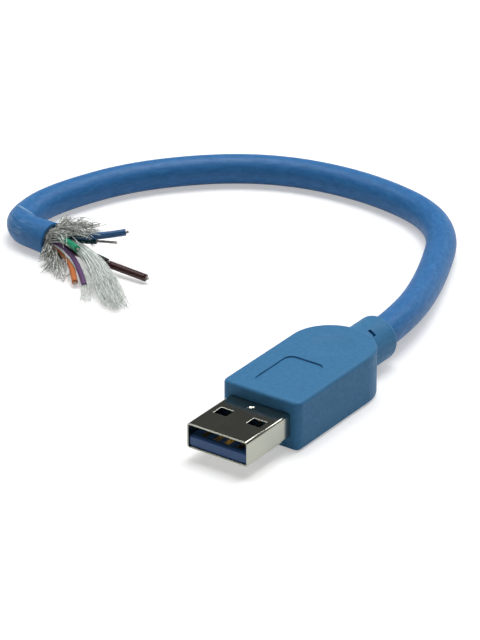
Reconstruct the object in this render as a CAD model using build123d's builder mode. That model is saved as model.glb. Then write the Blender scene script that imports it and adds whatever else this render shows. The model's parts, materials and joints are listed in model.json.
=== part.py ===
"""USB 3 type A plug on a short round cable whose far end is cut off and frayed.

The plug points to -Y, its width runs along X and its underside rests on Z = 0.
The origin is the middle of the plug's underside. The cable leaves the strain
relief towards +Y and lies on the same surface in one open loop.
"""

from build123d import *
import math
import os

os.makedirs("parts", exist_ok=True)

# Moulded body of the plug, in millimetres
body_width = 15.4
body_height = 8.9
body_straight = 20.6
body_corner = 1.3
body_edge = 0.6
body_foot_chamfer = 0.5
panel_width = 7.4
panel_length = 10.8
panel_setback = 3.0
panel_corner = 1.5
panel_depth = 0.3
dish_diameter = 8.2
dish_depth = 0.45
relief_diameter = 8.0
relief_length = 7.0
relief_tip_rounding = 1.1
relief_slot_gap = 1.3
relief_slot_width = 0.6
relief_slot_depth = 0.9
relief_slot_from = 48
relief_slot_to = 69

# Formed sheet metal shell
shell_width = 12.0
shell_height = 4.5
shell_wall = 0.3
shell_corner = 0.55
shell_exposed = 12.0
shell_grip = 6.5
window_width = 2.5
window_length = 2.1
window_pitch = 6.5
window_setback = 5.5
seam_gap = 0.1
seam_tab_width = 1.6
seam_tab_length = 1.6
seam_tab_flare = 0.3
seam_tab_setback = 9.0
dent_diameter = 1.4
dent_depth = 0.2
dent_setback = 2.0
dent_offset = -0.3

# Insulator, contact carrier and contacts
tongue_thickness = 1.95
tongue_setback = 0.35
tongue_lead_in = 0.3
insulator_side_gap = 0.05
cavity_depth = 9.6
contact_thickness = 0.25
contact_bend = 0.35
pad_width = 1.0
pad_places = {
    "ground_contact": -3.5,
    "data_plus_contact": -1.0,
    "data_minus_contact": 1.0,
    "vbus_contact": 3.5,
}
pad_setback = 1.2
pad_length = 5.4
pad_step = 0.75
pad_step_run = 0.8
spring_width = 0.6
spring_places = {
    "ss_rx_plus_contact": -4.0,
    "ss_rx_minus_contact": -2.0,
    "ss_drain_contact": 0.0,
    "ss_tx_plus_contact": 2.0,
    "ss_tx_minus_contact": 4.0,
}
spring_lift = 0.45
spring_reach = 2.4
spring_tip = 0.9
spring_tip_drop = 0.4
spring_crown = 0.15
tail_length = 2.8

# Rear shield and inner moulding
shield_wall = 0.25
shield_overlap = 1.5
shield_length = 13.5
shield_chamfer = 2.5
crimp_length = 5.0
inner_mould_wall = 0.6
inner_mould_lead = 1.5

# Cable, from the outside in
jacket_diameter = 5.5
jacket_wall = 0.6
jacket_in_shield = 1.0
braid_thickness = 0.15
foil_thickness = 0.07
power_wire_diameter = 1.1
signal_wire_diameter = 0.9
drain_wire_diameter = 0.3
wire_clearance = 0.03

# Cut end of the cable
strip_depth = 2.2
braid_frill = 1.1
braid_flare = 0.35
foil_frill = 0.7

# Insulated wires: diameter, place round the bundle at the cut end in degrees, how far
# out the tail kinks, its tip as (out of the cut, to the side, up) from the middle of
# the cut, or only how far out where it is straight, and its contact in the plug
wire_table = {
    "blue_wire": (signal_wire_diameter, 67.5, 6.8, (12.0, 5.6, 2.9), "ss_tx_minus_contact"),
    "teal_wire": (signal_wire_diameter, 22.5, 2.2, (7.7, 2.7, 0.9), "ss_tx_plus_contact"),
    "black_wire": (signal_wire_diameter, -22.5, None, 12.4, "ground_contact"),
    "red_wire": (power_wire_diameter, -67.5, 3.0, (19.5, 1.3, -2.15), "vbus_contact"),
    "white_wire": (signal_wire_diameter, -112.5, None, 0.9, "data_minus_contact"),
    "orange_wire": (signal_wire_diameter, -157.5, 1.3, (11.0, -8.9, -2.2), "ss_rx_plus_contact"),
    "violet_wire": (signal_wire_diameter, 157.5, 2.0, (14.0, -7.6, -2.0), "ss_rx_minus_contact"),
    "green_wire": (signal_wire_diameter, 112.5, 1.8, (7.6, -3.4, 1.3), "data_plus_contact"),
}

# Bare drain wires: place round the bundle, kink and tip as above
drain_table = {
    "upper_drain_wire": (90, None, 4.6),
    "lower_drain_wire": (-90, None, 3.4),
}

# Filler fibres: each section's middle as (out, side, up), half width and half height
filler_sections = [
    ((7.0, -0.3, 0.1), 0.8, 0.5),
    ((12.5, -2.0, -1.1), 1.9, 0.6),
    ((20.0, -7.5, -1.95), 3.0, 0.55),
    ((24.4, -10.8, -2.2), 2.9, 0.35),
]
filler_straight = 0.6

# Combed tufts of the braid: place round the rim in degrees, then the sections of the
# middle and the tip as above, and the root's own length out, half width and half height
braid_tufts = [
    (115, ((2.6, -0.6, 2.6), 0.9, 0.3), ((5.6, -0.9, 2.5), 0.5, 0.15)),
    (75, ((2.2, 1.6, 2.9), 0.9, 0.35), ((5.2, 3.6, 3.3), 0.6, 0.2)),
    (35, ((3.0, 3.6, 2.2), 0.9, 0.35), ((7.4, 6.2, 2.3), 0.6, 0.2)),
    (235, ((2.0, -3.2, -1.7), 0.8, 0.35), ((6.2, -6.4, -2.1), 0.6, 0.2)),
    (190, ((1.4, -3.5, -0.9), 0.8, 0.3), ((3.0, -5.0, -1.8), 0.5, 0.15)),
]
tuft_root = (0.05, 0.9, 0.15)

# Chamfer of a lock's corners, as a share of its half height
lock_corner = 0.5

# Places that follow from the sizes
plug_length = shell_exposed + body_straight + body_width / 2 + relief_length
nose_y = -plug_length / 2
front_y = nose_y + shell_exposed
rear_centre_y = front_y + body_straight
body_rear_y = rear_centre_y + body_width / 2
relief_tip_y = body_rear_y + relief_length
mid_z = body_height / 2
shell_rear_y = front_y + shell_grip
shell_floor_z = mid_z - shell_height / 2 + shell_wall
tongue_top_z = shell_floor_z + tongue_thickness
tail_end_y = shell_rear_y + tail_length
shield_front_y = shell_rear_y - shield_overlap
shield_rear_y = shield_front_y + shield_length
crimp_rear_y = shield_rear_y + crimp_length
jacket_front_y = shield_rear_y - shield_wall - jacket_in_shield
mould_front_y = shield_front_y - inner_mould_lead
jacket_radius = jacket_diameter / 2
bore_radius = jacket_radius - jacket_wall
foil_outer_radius = bore_radius - braid_thickness
foil_inner_radius = foil_outer_radius - foil_thickness
wire_ring_radius = foil_inner_radius - power_wire_diameter / 2 - wire_clearance
filler_radius = wire_ring_radius - power_wire_diameter / 2 - wire_clearance
drain_ring_radius = foil_inner_radius - drain_wire_diameter / 2 - wire_clearance
crimp_bore_radius = jacket_radius + braid_thickness
crimp_radius = crimp_bore_radius + shield_wall
mould_tail_radius = crimp_radius + inner_mould_wall
shell_ceiling_z = mid_z + shell_height / 2 - shell_wall
shell_top_z = mid_z + shell_height / 2
insulator_width = shell_width - 2 * (shell_wall + insulator_side_gap)
cavity_rear_y = nose_y + cavity_depth
pad_z = tongue_top_z - contact_thickness / 2
pad_tail_z = pad_z - pad_step
spring_z = tongue_top_z + spring_lift
seam_tab_y = nose_y + seam_tab_setback
dish_ball = ((dish_diameter / 2) ** 2 + dish_depth**2) / (2 * dish_depth)
dent_ball = ((dent_diameter / 2) ** 2 + dent_depth**2) / (2 * dent_depth)
lead_angles = {
    "ss_rx_plus_contact": 157.5,
    "ss_rx_minus_contact": 112.5,
    "ss_tx_plus_contact": 67.5,
    "ss_tx_minus_contact": 22.5,
    "ground_contact": 202.5,
    "data_plus_contact": 247.5,
    "data_minus_contact": 292.5,
    "vbus_contact": 337.5,
}

# Route of the cable's centreline, from inside the strain relief to the cut end
route_start_inset = 4.3
route_lead_out = 6.7
cord_points = [
    Vector(0, relief_tip_y - route_start_inset, mid_z),
    Vector(0, relief_tip_y + route_lead_out, mid_z),
    Vector(-5.9, 48.85, jacket_radius),
    Vector(-16.0, 70.25, jacket_radius),
    Vector(-37.0, 75.55, jacket_radius),
    Vector(-57.5, 71.35, jacket_radius),
    Vector(-73.7, 55.85, jacket_radius),
    Vector(-80.6, 38.75, jacket_radius),
    Vector(-80.0, 27.3, jacket_radius),
    Vector(-75.6, 23.5, jacket_radius),
    Vector(-69.9, 23.55, jacket_radius),
]
arc_share = 0.45


def largest_radii(points, share):
    """Give each corner of a route the largest arc that its two runs allow."""
    radii = []
    for before, here, after in zip(points, points[1:], points[2:]):
        arriving, leaving = here - before, after - here
        half_turn = math.radians(arriving.get_angle(leaving)) / 2
        shorter = min(arriving.length, leaving.length)
        radii.append(share * shorter / math.tan(half_turn))
    return radii


cord_radii = largest_radii(cord_points, arc_share)
print("cord radii", [round(radius, 1) for radius in cord_radii])

cut_direction = (cord_points[-1] - cord_points[-2]).normalized()
cut_side = Vector(0, 0, 1).cross(cut_direction)
cut_plane = Plane(cord_points[-1], x_dir=cut_side, z_dir=cut_direction)
bore_plane = cut_plane.offset(-strip_depth)
pad_contacts = []
spring_contacts = []


def cross_plane(y):
    """Plane across the plug at y, drawn with X to the right and Z up."""
    return Plane.XZ.offset(-y)


def cut_point(out, side, up):
    """Point at the cut end, out along the cable's axis, to its side and up."""
    return cut_plane.from_local_coords(Vector(side, up, out))


def bundle_point(radius, angle, out):
    """Point of the bundle at the cut end, round the cable's axis and out along it."""
    turn = math.radians(angle)
    return cut_point(out, radius * math.cos(turn), radius * math.sin(turn))


def export_piece(piece, label):
    """Name a finished piece and write it as its own STEP file."""
    piece.part.label = label
    export_step(piece.part, f"parts/{label}.step")


# Cable jacket: solid between its ends, where it stands for the packed wires
with BuildPart() as jacket:
    with BuildLine():
        FilletPolyline(*cord_points, radius=cord_radii)
    with BuildSketch(cross_plane(cord_points[0].Y)):
        with Locations((0, mid_z)):
            Circle(jacket_radius)
    sweep()
    with BuildSketch(cross_plane(cord_points[0].Y)):
        with Locations((0, mid_z)):
            Circle(jacket_radius)
    extrude(amount=cord_points[0].Y - jacket_front_y)
    with BuildSketch(bore_plane):
        Circle(bore_radius)
    extrude(amount=strip_depth, mode=Mode.SUBTRACT)
export_piece(jacket, "jacket")


def rim_place(radius, angle, out):
    """Place round the cut's rim as (out, to the side, up)."""
    turn = math.radians(angle)
    return out, radius * math.cos(turn), radius * math.sin(turn)


def draw_lock(sections, twist):
    """Loft a lock of strands through sections that all face along the cable."""
    outlines = []
    for place, half_width, half_height in sections:
        with BuildSketch(Plane(cut_point(*place), x_dir=cut_side, z_dir=cut_direction)) as outline:
            with Locations(Rotation(0, 0, twist)):
                block = Rectangle(2 * half_width, 2 * half_height)
            chamfer(block.vertices(), lock_corner * half_height)
        outlines.append(outline.sketch)
    loft(outlines, ruled=True)


# Braid: a flared and tufted frill at the cut end, folded back under the crimp in the plug
with BuildPart() as braid:
    with BuildSketch(Plane(bore_plane.origin, x_dir=cut_side, z_dir=cut_side.cross(cut_direction))):
        with BuildLine():
            Polyline(
                (foil_outer_radius, 0),
                (bore_radius, 0),
                (bore_radius, strip_depth),
                (bore_radius + braid_flare, strip_depth + braid_frill),
                (foil_outer_radius + braid_flare, strip_depth + braid_frill),
                (foil_outer_radius, strip_depth),
                close=True,
            )
        make_face()
    revolve(axis=Axis(bore_plane.origin, cut_direction))
    for angle, middle, tip in braid_tufts:
        out, half_width, half_height = tuft_root
        root = (rim_place(bore_radius, angle, out), half_width, half_height)
        draw_lock((root, middle, tip), angle - 90)
    with BuildSketch(cross_plane(crimp_rear_y)):
        with Locations((0, mid_z)):
            Circle(crimp_bore_radius)
            Circle(jacket_radius, mode=Mode.SUBTRACT)
    extrude(amount=crimp_rear_y - jacket_front_y)
export_piece(braid, "braid")

# Foil wrapped round the wires inside the braid
with BuildPart() as foil:
    with BuildSketch(bore_plane):
        Circle(foil_outer_radius)
        Circle(foil_inner_radius, mode=Mode.SUBTRACT)
    extrude(amount=strip_depth + foil_frill)
export_piece(foil, "foil")

# Filler fibres fan out from the middle of the bundle and lie down on the surface
with BuildPart() as filler_fibres:
    core_half = filler_radius / math.hypot(1, 1 - lock_corner)
    bundled = [((out, 0, 0), core_half, core_half) for out in (-strip_depth, filler_straight)]
    draw_lock(bundled + filler_sections, 0)
export_piece(filler_fibres, "filler_fibres")

# Flat contacts: a pad flush with the tongue, a step down, and a tail out of the rear
for label, place in pad_places.items():
    with BuildPart() as pad_contact:
        with BuildSketch(Plane.YZ.offset(place)):
            with BuildLine():
                FilletPolyline(
                    (nose_y + pad_setback, pad_z),
                    (nose_y + pad_setback + pad_length, pad_z),
                    (nose_y + pad_setback + pad_length + pad_step_run, pad_tail_z),
                    (tail_end_y, pad_tail_z),
                    radius=contact_bend,
                )
            trace(line_width=contact_thickness)
        extrude(amount=pad_width / 2, both=True)
    export_piece(pad_contact, label)
    pad_contacts.append(pad_contact.part)

# Spring contacts: held in the carrier, bowed over the tongue, with a turned down tip
for label, place in spring_places.items():
    with BuildPart() as spring_contact:
        with BuildSketch(Plane.YZ.offset(place)):
            with BuildLine():
                FilletPolyline(
                    (tail_end_y, spring_z),
                    (cavity_rear_y, spring_z),
                    (cavity_rear_y - spring_reach, spring_z + spring_crown),
                    (cavity_rear_y - spring_reach - spring_tip, spring_z + spring_crown - spring_tip_drop),
                    radius=contact_bend,
                )
            trace(line_width=contact_thickness)
        extrude(amount=spring_width / 2, both=True)
    export_piece(spring_contact, label)
    spring_contacts.append(spring_contact.part)

# Insulator: the tongue and lower block, moulded round the flat contacts
with BuildPart() as insulator:
    with BuildSketch(cross_plane(shell_rear_y)):
        with Locations((0, shell_floor_z + tongue_thickness / 2)):
            block = Rectangle(insulator_width, tongue_thickness)
        chamfer(block.vertices().group_by(Axis.Y)[0], shell_corner - shell_wall)
    extrude(amount=shell_rear_y - nose_y - tongue_setback)
    nose_face = insulator.faces().sort_by(Axis.Y)[0]
    chamfer(nose_face.edges().sort_by(Axis.Z)[-1], tongue_lead_in)
    for contact in pad_contacts:
        add(contact, mode=Mode.SUBTRACT)
export_piece(insulator, "insulator")

# Carrier: the upper block behind the cavity, moulded round the spring contacts
with BuildPart() as contact_carrier:
    with BuildSketch(cross_plane(shell_rear_y)):
        with Locations((0, (tongue_top_z + shell_ceiling_z) / 2)):
            block = Rectangle(insulator_width, shell_ceiling_z - tongue_top_z)
        chamfer(block.vertices().group_by(Axis.Y)[-1], shell_corner - shell_wall)
    extrude(amount=shell_rear_y - cavity_rear_y)
    for contact in spring_contacts:
        add(contact, mode=Mode.SUBTRACT)
export_piece(contact_carrier, "contact_carrier")

# Shell: one folded sheet with a locked seam below, four windows and a small dent on top
with BuildPart() as shell_envelope:
    with BuildSketch(cross_plane(shell_rear_y)):
        with Locations((0, mid_z)):
            RectangleRounded(shell_width, shell_height, shell_corner)
    extrude(amount=shell_rear_y - nose_y)
with BuildPart() as shell:
    add(shell_envelope.part)
    with BuildSketch(cross_plane(shell_rear_y)):
        with Locations((0, mid_z)):
            RectangleRounded(
                shell_width - 2 * shell_wall,
                shell_height - 2 * shell_wall,
                shell_corner - shell_wall,
            )
    extrude(amount=shell_rear_y - nose_y, mode=Mode.SUBTRACT)
    with BuildSketch(Plane.XY.offset(mid_z)):
        with Locations((0, front_y - window_setback)):
            with GridLocations(window_pitch, 0, 2, 1):
                Rectangle(window_width, window_length)
    extrude(amount=shell_height, both=True, mode=Mode.SUBTRACT)
    with BuildSketch(Plane.XY.offset(mid_z - shell_height / 2)):
        with BuildLine():
            Polyline(
                (0, nose_y),
                (0, seam_tab_y),
                (seam_tab_width, seam_tab_y - seam_tab_flare),
                (seam_tab_width, seam_tab_y + seam_tab_length + seam_tab_flare),
                (0, seam_tab_y + seam_tab_length),
                (0, shell_rear_y),
            )
        trace(line_width=seam_gap)
    extrude(amount=shell_wall, mode=Mode.SUBTRACT)
    with Locations((dent_offset, front_y - dent_setback, shell_top_z - dent_depth + dent_ball)):
        Sphere(dent_ball, rotation=(90, 0, 0), mode=Mode.SUBTRACT)
export_piece(shell, "shell")


def stepped_form(width, neck_height, front, neck_y, rear, tail_radius, tail_end):
    """Flat neck, then a taller block with chamfered rear corners and a round tail."""
    with BuildPart() as form:
        with BuildSketch(cross_plane(neck_y)):
            with Locations((0, mid_z)):
                Rectangle(width, neck_height)
        extrude(amount=neck_y - front)
        with BuildSketch(Plane.XY.offset(mid_z - tail_radius)):
            with BuildLine():
                Polyline(
                    (-width / 2, neck_y),
                    (width / 2, neck_y),
                    (width / 2, rear - shield_chamfer),
                    (width / 2 - shield_chamfer, rear),
                    (-width / 2 + shield_chamfer, rear),
                    (-width / 2, rear - shield_chamfer),
                    close=True,
                )
            make_face()
        extrude(amount=2 * tail_radius)
        with BuildSketch(cross_plane(tail_end)):
            with Locations((0, mid_z)):
                Circle(tail_radius)
        extrude(amount=tail_end - rear)
    return form.part


shield_envelope = stepped_form(
    shell_width + 2 * shield_wall,
    shell_height + 2 * shield_wall,
    shield_front_y,
    shell_rear_y,
    shield_rear_y,
    crimp_radius,
    crimp_rear_y,
)
shield_hollow = stepped_form(
    shell_width,
    shell_height,
    shield_front_y,
    shell_rear_y + shield_wall,
    shield_rear_y - shield_wall,
    crimp_bore_radius,
    crimp_rear_y,
)
mould_envelope = stepped_form(
    shell_width + 2 * (shield_wall + inner_mould_wall),
    shell_height + 2 * (shield_wall + inner_mould_wall),
    mould_front_y,
    shell_rear_y - inner_mould_wall,
    shield_rear_y + inner_mould_wall,
    mould_tail_radius,
    crimp_rear_y,
)

# Rear shield: two stamped halves that meet at mid height and crimp onto the braid
for label, kept in (("shield_cover", Keep.TOP), ("shield_tray", Keep.BOTTOM)):
    with BuildPart() as shield_half:
        add(shield_envelope)
        add(shield_hollow, mode=Mode.SUBTRACT)
        split(bisect_by=Plane.XY.offset(mid_z), keep=kept)
    export_piece(shield_half, label)

# Inner moulding: seals the shield and the back of the shell
with BuildPart() as inner_mould:
    add(mould_envelope)
    add(shield_envelope, mode=Mode.SUBTRACT)
    add(shell_envelope.part, mode=Mode.SUBTRACT)
export_piece(inner_mould, "inner_mould")

# Overmould: the plug's body and strain relief in one moulding
with BuildPart() as overmould:
    with BuildSketch():
        with Locations((0, front_y)):
            Rectangle(body_width, body_straight, align=(Align.CENTER, Align.MIN))
        with Locations((0, rear_centre_y)):
            Circle(body_width / 2)
    extrude(amount=body_height)
    fillet(overmould.edges().filter_by(Axis.Z).group_by(Axis.Y)[0], body_corner)
    fillet(overmould.faces().sort_by(Axis.Z)[-1].edges(), body_edge)
    chamfer(overmould.faces().sort_by(Axis.Z)[0].edges(), body_foot_chamfer)
    with BuildSketch(cross_plane(relief_tip_y)):
        with Locations((0, mid_z)):
            Circle(relief_diameter / 2)
    extrude(amount=relief_tip_y - rear_centre_y)
    fillet(overmould.edges().group_by(Axis.Y)[-1], relief_tip_rounding)
    with BuildSketch(Plane.XY.offset(body_height)):
        with Locations((0, front_y + panel_setback + panel_length / 2)):
            RectangleRounded(panel_width, panel_length, panel_corner)
    extrude(amount=-panel_depth, mode=Mode.SUBTRACT)
    with Locations((0, rear_centre_y, body_height - dish_depth + dish_ball)):
        Sphere(dish_ball, rotation=(90, 0, 0), mode=Mode.SUBTRACT)
    with BuildSketch(cross_plane(body_rear_y + relief_slot_gap + relief_slot_width)):
        for start in (relief_slot_from, 180 + relief_slot_from):
            with BuildLine():
                CenterArc((0, mid_z), relief_diameter / 2, start, relief_slot_to - relief_slot_from)
            trace(line_width=2 * relief_slot_depth)
    extrude(amount=relief_slot_width, mode=Mode.SUBTRACT)
    add(mould_envelope, mode=Mode.SUBTRACT)
    add(shell_envelope.part, mode=Mode.SUBTRACT)
    with BuildSketch(cross_plane(relief_tip_y)):
        with Locations((0, mid_z)):
            Circle(jacket_radius)
    extrude(amount=relief_tip_y - crimp_rear_y, mode=Mode.SUBTRACT)
export_piece(overmould, "overmould")


def draw_tail(diameter, ring_radius, angle, bend, tip):
    """Run a wire straight out of the bundle at the cut end, then kink it to its tip."""
    root = bundle_point(ring_radius, angle, -strip_depth)
    with BuildLine() as path:
        if isinstance(tip, tuple):
            Polyline(root, bundle_point(ring_radius, angle, bend), cut_point(*tip))
        else:
            Line(root, bundle_point(ring_radius, angle, tip))
    with BuildSketch(Plane(root, z_dir=cut_direction)) as section:
        Circle(diameter / 2)
    sweep(section.sketch, path=path.line, transition=Transition.RIGHT)


def draw_lead(diameter, ring_radius, angle, end_x, end_z, end_y):
    """Run a wire from the jacket's front face in the plug to where it is soldered."""
    turn = math.radians(angle)
    start_x = ring_radius * math.cos(turn)
    start_z = mid_z + ring_radius * math.sin(turn)
    run = Vector(end_x - start_x, end_y - jacket_front_y, end_z - start_z)
    with BuildSketch(cross_plane(jacket_front_y)) as section:
        with Locations((start_x, start_z)):
            Circle(diameter / 2)
    extrude(section.sketch, amount=run.length, dir=run.normalized())


# Insulated wires: a tail at the cut end, and a lead to the contact in the plug
for label, (diameter, angle, bend, tip, contact) in wire_table.items():
    with BuildPart() as wire:
        draw_tail(diameter, wire_ring_radius, angle, bend, tip)
        if contact in pad_places:
            end_x, end_z = pad_places[contact], pad_tail_z
        else:
            end_x, end_z = spring_places[contact], spring_z
        draw_lead(diameter, wire_ring_radius, lead_angles[contact], end_x, end_z, tail_end_y)
    export_piece(wire, label)

# Bare drain wires: the upper one to its contact, the lower one laid on the shield
drain_ends = {
    "upper_drain_wire": (spring_places["ss_drain_contact"], spring_z, tail_end_y),
    "lower_drain_wire": (0, mid_z - shell_height / 2 + drain_wire_diameter / 2, shell_rear_y),
}
for label, (angle, bend, tip) in drain_table.items():
    with BuildPart() as drain_wire:
        draw_tail(drain_wire_diameter, drain_ring_radius, angle, bend, tip)
        draw_lead(drain_wire_diameter, drain_ring_radius, angle, *drain_ends[label])
    export_piece(drain_wire, label)
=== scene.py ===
"""Looks of a blue USB 3 type A plug on a short cable that is cut off and frayed.

Lengths are metres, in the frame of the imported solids: the plug points to -Y, its width
runs along X and the surface that it lies on is Z = 0. Shapes are grids of points worked
out with numpy, or a section carried along a path.
"""

import json
import logging
import math
from dataclasses import dataclass, field
from enum import Enum

import bpy
import numpy as np
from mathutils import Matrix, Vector


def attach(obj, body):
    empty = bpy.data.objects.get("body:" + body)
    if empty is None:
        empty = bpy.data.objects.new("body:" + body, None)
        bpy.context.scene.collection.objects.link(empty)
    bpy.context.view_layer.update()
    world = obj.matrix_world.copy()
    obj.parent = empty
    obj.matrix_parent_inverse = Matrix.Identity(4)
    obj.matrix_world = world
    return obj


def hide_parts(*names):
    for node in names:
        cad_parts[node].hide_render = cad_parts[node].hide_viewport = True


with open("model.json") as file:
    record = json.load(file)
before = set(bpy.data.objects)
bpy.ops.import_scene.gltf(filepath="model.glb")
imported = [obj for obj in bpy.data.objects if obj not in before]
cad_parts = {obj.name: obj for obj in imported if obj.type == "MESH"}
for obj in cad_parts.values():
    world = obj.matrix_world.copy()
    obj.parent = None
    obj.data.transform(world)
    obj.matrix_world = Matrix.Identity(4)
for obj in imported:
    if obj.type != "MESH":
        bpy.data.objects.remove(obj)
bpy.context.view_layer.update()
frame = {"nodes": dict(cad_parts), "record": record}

MM = 0.001
TINY = 1e-12
STEEP = 0.9
BODY = "root"
LOG = logging.getLogger("lead")

Array = np.ndarray
Colour = tuple[float, float, float]
Point = tuple[float, float, float]


# Grids and tubes


def unit(vectors: Array) -> Array:
    """Scale vectors to length one along their last axis."""
    return vectors / np.maximum(np.linalg.norm(vectors, axis=-1, keepdims=True), TINY)


def grid_faces(rows: int, columns: int) -> Array:
    """Index the quads of a grid that closes on itself across its columns.

    Args:
        rows: Number of rings of points.
        columns: Number of points in each ring.

    Returns:
        An array of four point numbers for each quad, turned outwards.
    """
    row, column = np.meshgrid(np.arange(rows - 1), np.arange(columns), indexing="ij")
    right = (column + 1) % columns
    corners = (row * columns + column, row * columns + right,
               (row + 1) * columns + right, (row + 1) * columns + column)
    return np.stack(corners, axis=-1).reshape(-1, 4)


def tube_frames(paths: Array) -> tuple[Array, Array]:
    """Give two directions across each path, square to it and to each other.

    The tangent is the central difference of the points. The first direction is level,
    as the tangent crossed with up, and leans on Y where a path stands upright.

    Args:
        paths: Points of each path, as (path, point, 3).

    Returns:
        The level direction and the other one, each as (path, point, 3).
    """
    tangent = unit(np.gradient(paths, axis=1))
    upright = np.abs(tangent[..., 2:3]) > STEEP
    reference = np.where(upright, np.array([0.0, 1.0, 0.0]), np.array([0.0, 0.0, 1.0]))
    across = unit(np.cross(tangent, reference))
    return across, np.cross(across, tangent)


def tubes(paths: Array, radii: Array, sides: int, flatness: float = 1.0) -> tuple[Array, Array]:
    """Carry a round or flattened section along many paths at once.

    A point is the path's point, plus the radius times the cosine of its angle across
    and the sine of it, times the flatness, the other way. Each end is closed by a ring
    of no radius.

    Args:
        paths: Points of each path, as (path, point, 3).
        radii: Radius at each point, as (path, point) or anything that spreads to it.
        sides: Number of points round the section.
        flatness: Height of the section as a share of its width.

    Returns:
        The points as (count, 3) and the quads as (count, 4).
    """
    radii = np.broadcast_to(radii, paths.shape[:2])
    paths = np.concatenate([paths[:, :1], paths, paths[:, -1:]], axis=1)
    radii = np.pad(radii, ((0, 0), (1, 1)))
    inner = paths[:, 1:-1]
    across, other = tube_frames(inner)
    across = np.concatenate([across[:, :1], across, across[:, -1:]], axis=1)
    other = np.concatenate([other[:, :1], other, other[:, -1:]], axis=1)
    turn = np.linspace(0, 2 * math.pi, sides, endpoint=False)
    spoke = (np.cos(turn)[:, None] * across[:, :, None]
             + flatness * np.sin(turn)[:, None] * other[:, :, None])
    points = paths[:, :, None] + radii[:, :, None, None] * spoke
    count, rings = paths.shape[:2]
    one = grid_faces(rings, sides)
    faces = one[None] + (np.arange(count) * rings * sides)[:, None, None]
    return points.reshape(-1, 3), faces.reshape(-1, 4)


def bezier(controls: Array, samples: int) -> Array:
    """Sample cubic curves, the sum of four control points times the cubic weights.

    Args:
        controls: Control points, as (curve, 4, 3).
        samples: Number of points on each curve.

    Returns:
        The points, as (curve, sample, 3).
    """
    t = np.linspace(0, 1, samples)
    weights = np.stack([(1 - t) ** 3, 3 * t * (1 - t) ** 2, 3 * t**2 * (1 - t), t**3], axis=1)
    return np.einsum("sk,ckd->csd", weights, controls)


def joined(parts: list[tuple[Array, Array]]) -> tuple[Array, Array]:
    """Join several sets of points and quads into one set."""
    offsets = np.cumsum([0] + [len(points) for points, _ in parts[:-1]])
    points = np.concatenate([points for points, _ in parts])
    faces = np.concatenate([faces + start for (_, faces), start in zip(parts, offsets)])
    return points, faces


# Finishes


class NodeBuilder:
    """A short way to place and join the nodes of one tree."""

    def __init__(self, tree: bpy.types.NodeTree) -> None:
        """Keep the tree that nodes go into."""
        self.tree = tree

    def add(self, kind: str, inputs: dict[str | int, object] | None = None,
            **settings: object) -> bpy.types.Node:
        """Place a node.

        Args:
            kind: Blender's name of the node's type, without its leading ShaderNode.
            inputs: A value or an output socket for each input, by name or number.
            settings: Attributes of the node itself.

        Returns:
            The new node.
        """
        node = self.tree.nodes.new("ShaderNode" + kind)
        for name, value in settings.items():
            setattr(node, name, value)
        self.fill(node, inputs or {})
        return node

    def group(self, group: bpy.types.NodeTree, inputs: dict[str, object]) -> bpy.types.Node:
        """Place a node group with its own values."""
        node = self.add("Group", node_tree=group)
        self.fill(node, inputs)
        return node

    def fill(self, node: bpy.types.Node, inputs: dict[str | int, object]) -> None:
        """Set or link a node's inputs, by name or number."""
        for key, value in inputs.items():
            if isinstance(value, bpy.types.NodeSocket):
                self.tree.links.new(value, node.inputs[key])
            else:
                node.inputs[key].default_value = value


GroupParts = tuple[bpy.types.NodeTree, NodeBuilder, bpy.types.Node, bpy.types.Node]
BROAD_GRAIN = 0.31
NOISE_LOW, NOISE_HIGH = 0.3, 0.7


def new_group(name: str, inputs: dict[str, tuple[str, float]], outputs: dict[str, str]) -> GroupParts:
    """Start a node group with named inputs and outputs.

    Args:
        name: Name of the group.
        inputs: Socket type and default value by name.
        outputs: Socket type by name.

    Returns:
        The group, its builder, and its input and output nodes.
    """
    tree = bpy.data.node_groups.new(name, "ShaderNodeTree")
    for socket, (kind, default) in inputs.items():
        made = tree.interface.new_socket(socket, in_out="INPUT", socket_type="NodeSocket" + kind)
        if kind == "Float":
            made.default_value = default
    for socket, kind in outputs.items():
        tree.interface.new_socket(socket, in_out="OUTPUT", socket_type="NodeSocket" + kind)
    return tree, NodeBuilder(tree), tree.nodes.new("NodeGroupInput"), tree.nodes.new("NodeGroupOutput")


def build_grain() -> bpy.types.NodeTree:
    """Fine even pitting, as on a mould that was blasted: two sizes of noise added up."""
    tree, b, source, target = new_group(
        "blasted_grain", {"Vector": ("Vector", 0.0), "Scale": ("Float", 4000.0)}, {"Height": "Float"})
    place, scale = source.outputs["Vector"], source.outputs["Scale"]
    fine = b.add("TexNoise", {"Vector": place, "Scale": scale, "Detail": 2.0})
    wide = b.add("Math", {0: scale, 1: BROAD_GRAIN}, operation="MULTIPLY")
    broad = b.add("TexNoise", {"Vector": place, "Scale": wide.outputs[0], "Detail": 1.0})
    total = b.add("Math", {0: fine.outputs["Fac"], 1: broad.outputs["Fac"]}, operation="ADD")
    tree.links.new(total.outputs[0], target.inputs["Height"])
    return tree


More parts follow.
